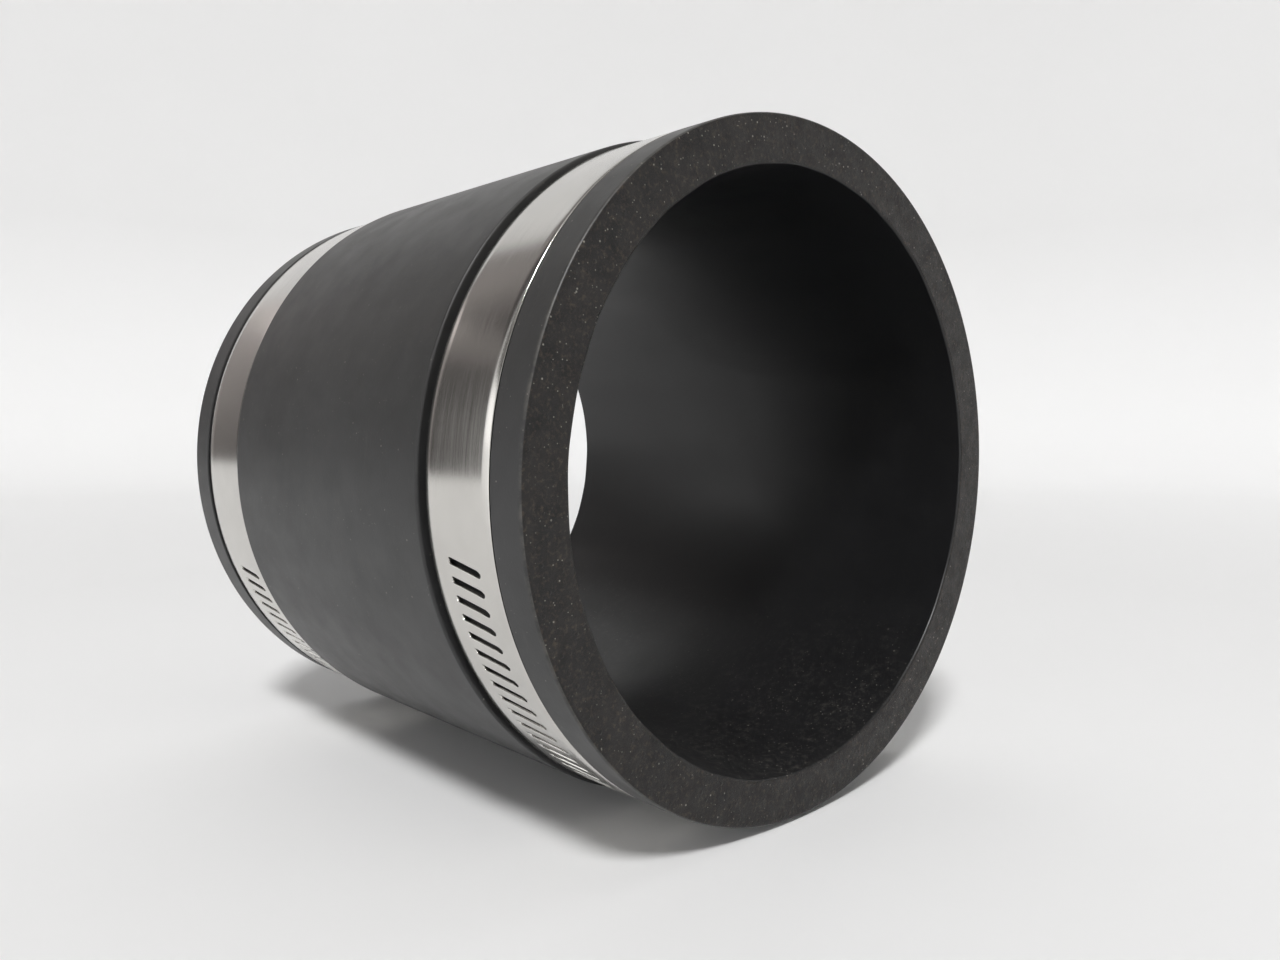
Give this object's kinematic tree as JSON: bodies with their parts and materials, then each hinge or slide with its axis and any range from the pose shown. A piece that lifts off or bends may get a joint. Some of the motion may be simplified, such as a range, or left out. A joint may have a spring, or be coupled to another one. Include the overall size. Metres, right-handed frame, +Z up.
{
  "type": "flexible pipe coupling",
  "caption": "Straight flexible rubber sleeve that joins two pipe ends, with a worm-drive steel band clamp in a groove near each end.",
  "frame": {"origin": "centre of the sleeve, on its axis, halfway along its length", "axes": "Y along the sleeve's axis, from the front end at -Y to the rear end at +Y; +Z up as the coupling lies on its side"},
  "size_m": [0.1056, 0.106, 0.1056],
  "materials": {
    "sleeve_rubber": "satin-matt moulded outside, brown-black and rougher on the cut ends",
    "band_steel": "bright rolled stainless strip with fine lengthwise scratches",
    "housing_steel": "pressed stainless sheet, satin",
    "screw_steel": "turned and rolled steel, satin"
  },
  "bodies": {
    "sleeve": {"sleeve": "sleeve_rubber"},
    "front_clamp": {"front_band": "band_steel", "front_saddle": "housing_steel", "front_housing": "housing_steel"},
    "front_tail": {"front_band_tail": "band_steel"},
    "front_screw": {"front_screw": "screw_steel"},
    "rear_clamp": {"rear_band": "band_steel", "rear_saddle": "housing_steel", "rear_housing": "housing_steel"},
    "rear_tail": {"rear_band_tail": "band_steel"},
    "rear_screw": {"rear_screw": "screw_steel"}
  },
  "joints": [
    {"name": "front_clamp_turn", "type": "hinge", "parent": "sleeve", "child": "front_clamp", "pos_m": [0, -0.0394, 0], "axis": [0, -1, 0], "continuous": true},
    {"name": "front_screw_turn", "type": "hinge", "parent": "front_clamp", "child": "front_screw", "pos_m": [0.03958, -0.0394, -0.04396], "axis": [-0.7431, 0, -0.6691], "range_deg": [-720, 720]},
    {"name": "front_tail_slide", "type": "hinge", "parent": "front_clamp", "child": "front_tail", "pos_m": [0, -0.0394, 0], "axis": [0, -1, 0], "range_deg": [-5.51, 5.51]},
    {"name": "rear_clamp_turn", "type": "hinge", "parent": "sleeve", "child": "rear_clamp", "pos_m": [0, 0.0382, 0], "axis": [0, -1, 0], "continuous": true},
    {"name": "rear_screw_turn", "type": "hinge", "parent": "rear_clamp", "child": "rear_screw", "pos_m": [0.03958, 0.0382, -0.04396], "axis": [-0.7431, 0, -0.6691], "range_deg": [-720, 720]},
    {"name": "rear_tail_slide", "type": "hinge", "parent": "rear_clamp", "child": "rear_tail", "pos_m": [0, 0.0382, 0], "axis": [0, -1, 0], "range_deg": [-5.51, 5.51]}
  ],
  "couplings": [
    {"joint": "front_tail_slide", "follows": "front_screw_turn", "ratio": 0.0076476},
    {"joint": "rear_tail_slide", "follows": "rear_screw_turn", "ratio": 0.0076476}
  ]
}
